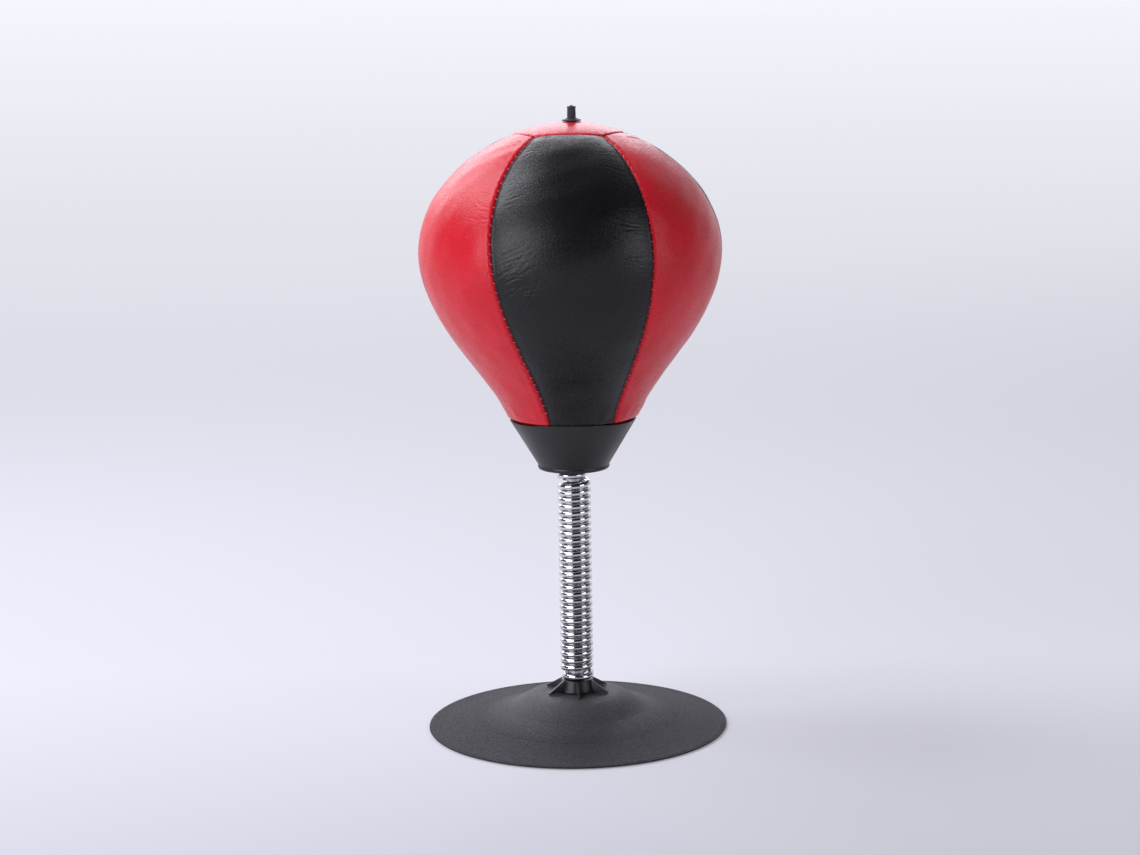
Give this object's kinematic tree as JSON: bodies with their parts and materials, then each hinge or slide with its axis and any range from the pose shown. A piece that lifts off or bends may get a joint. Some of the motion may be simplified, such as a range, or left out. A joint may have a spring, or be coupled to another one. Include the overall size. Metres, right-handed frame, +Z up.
{
  "type": "punching bag on stand",
  "caption": "Desk punching ball: sewn leather-look ball in a cone cup on a coil spring that stands on a broad suction base.",
  "frame": {"origin": "on the surface the base stands on, under the middle of the suction base", "axes": "+Z up along the spring; -Y is the front, towards the middle of the front black panel; +X is to the right of someone who faces the front"},
  "size_m": [0.16, 0.16, 0.3311],
  "materials": {
    "soft_black": "matte, fine grain",
    "hard_black": "satin",
    "spring_chrome": "mirror bright",
    "steel": "zinc plated",
    "red_leather": "semi-gloss coated, fine grain",
    "black_leather": "semi-gloss coated, fine grain",
    "red_thread": "twisted thread",
    "bladder_rubber": "matte"
  },
  "bodies": {
    "suction_rim": {"suction_cup": "soft_black"},
    "hub": {"spring_hub": "hard_black", "seal_washer": "soft_black", "base_washer": "steel", "base_nut": "steel", "base_bolt": "steel", "spring_section_01": "spring_chrome"},
    "spring_02": {"spring_section_02": "spring_chrome"},
    "spring_03": {"spring_section_03": "spring_chrome"},
    "spring_04": {"spring_section_04": "spring_chrome"},
    "spring_05": {"spring_section_05": "spring_chrome"},
    "spring_06": {"spring_section_06": "spring_chrome"},
    "spring_07": {"spring_section_07": "spring_chrome"},
    "spring_08": {"spring_section_08": "spring_chrome"},
    "spring_09": {"spring_section_09": "spring_chrome"},
    "spring_10": {"spring_section_10": "spring_chrome"},
    "spring_11": {"spring_section_11": "spring_chrome"},
    "ball": {"spring_section_12": "spring_chrome", "ball_cup": "hard_black", "clamp_plate": "steel", "clamp_washer": "steel", "clamp_nut": "steel", "cup_bolt": "steel", "black_panel_front": "black_leather", "red_panel_right": "red_leather", "black_panel_right": "black_leather", "red_panel_back": "red_leather", "black_panel_left": "black_leather", "red_panel_left": "red_leather", "seam_thread_1": "red_thread", "seam_thread_2": "red_thread", "seam_thread_3": "red_thread", "seam_thread_4": "red_thread", "seam_thread_5": "red_thread", "seam_thread_6": "red_thread", "red_panel_top": "red_leather", "seam_thread_top": "red_thread", "bladder": "bladder_rubber", "valve_stem": "soft_black", "valve_collar": "soft_black"},
    "plug": {"valve_plug": "soft_black"}
  },
  "joints": [
    {"name": "cup_press", "type": "slide", "parent": "suction_rim", "child": "hub", "axis": [0, 0, 1], "range_m": [-0.006, 0], "stiffness_N_per_m": 9000, "deforming": ["suction_cup"]},
    {"name": "nod_1", "type": "hinge", "parent": "hub", "child": "spring_02", "pos_m": [0, 0, 0.03645], "axis": [1, 0, 0], "range_deg": [-12, 12], "stiffness_Nm_per_rad": 9, "deforming": ["spring_section_01", "spring_section_02"]},
    {"name": "sway_1", "type": "hinge", "parent": "spring_02", "child": "spring_03", "pos_m": [0, 0, 0.0456], "axis": [0, 1, 0], "range_deg": [-12, 12], "stiffness_Nm_per_rad": 9, "deforming": ["spring_section_02", "spring_section_03"]},
    {"name": "nod_2", "type": "hinge", "parent": "spring_03", "child": "spring_04", "pos_m": [0, 0, 0.05475], "axis": [1, 0, 0], "range_deg": [-12, 12], "stiffness_Nm_per_rad": 9, "deforming": ["spring_section_03", "spring_section_04"]},
    {"name": "sway_2", "type": "hinge", "parent": "spring_04", "child": "spring_05", "pos_m": [0, 0, 0.0639], "axis": [0, 1, 0], "range_deg": [-12, 12], "stiffness_Nm_per_rad": 9, "deforming": ["spring_section_04", "spring_section_05"]},
    {"name": "nod_3", "type": "hinge", "parent": "spring_05", "child": "spring_06", "pos_m": [0, 0, 0.07305], "axis": [1, 0, 0], "range_deg": [-12, 12], "stiffness_Nm_per_rad": 9, "deforming": ["spring_section_05", "spring_section_06"]},
    {"name": "twist", "type": "hinge", "parent": "spring_06", "child": "spring_07", "pos_m": [0, 0, 0.0822], "axis": [0, 0, 1], "range_deg": [-20, 20], "stiffness_Nm_per_rad": 1.2, "deforming": ["spring_section_06", "spring_section_07"]},
    {"name": "sway_3", "type": "hinge", "parent": "spring_07", "child": "spring_08", "pos_m": [0, 0, 0.09135], "axis": [0, 1, 0], "range_deg": [-12, 12], "stiffness_Nm_per_rad": 9, "deforming": ["spring_section_07", "spring_section_08"]},
    {"name": "nod_4", "type": "hinge", "parent": "spring_08", "child": "spring_09", "pos_m": [0, 0, 0.1005], "axis": [1, 0, 0], "range_deg": [-12, 12], "stiffness_Nm_per_rad": 9, "deforming": ["spring_section_08", "spring_section_09"]},
    {"name": "sway_4", "type": "hinge", "parent": "spring_09", "child": "spring_10", "pos_m": [0, 0, 0.10965], "axis": [0, 1, 0], "range_deg": [-12, 12], "stiffness_Nm_per_rad": 9, "deforming": ["spring_section_09", "spring_section_10"]},
    {"name": "nod_5", "type": "hinge", "parent": "spring_10", "child": "spring_11", "pos_m": [0, 0, 0.1188], "axis": [1, 0, 0], "range_deg": [-12, 12], "stiffness_Nm_per_rad": 9, "deforming": ["spring_section_10", "spring_section_11"]},
    {"name": "sway_5", "type": "hinge", "parent": "spring_11", "child": "ball", "pos_m": [0, 0, 0.12795], "axis": [0, 1, 0], "range_deg": [-12, 12], "stiffness_Nm_per_rad": 9, "deforming": ["spring_section_11", "spring_section_12"]},
    {"name": "plug_pull", "type": "slide", "parent": "ball", "child": "plug", "axis": [0, 0, 1], "range_m": [0, 0.012]}
  ],
  "couplings": [
    {"joint": "nod_2", "follows": "nod_1", "ratio": 1},
    {"joint": "sway_2", "follows": "sway_1", "ratio": 1},
    {"joint": "nod_3", "follows": "nod_1", "ratio": 1},
    {"joint": "sway_3", "follows": "sway_1", "ratio": 1},
    {"joint": "nod_4", "follows": "nod_1", "ratio": 1},
    {"joint": "sway_4", "follows": "sway_1", "ratio": 1},
    {"joint": "nod_5", "follows": "nod_1", "ratio": 1},
    {"joint": "sway_5", "follows": "sway_1", "ratio": 1}
  ]
}
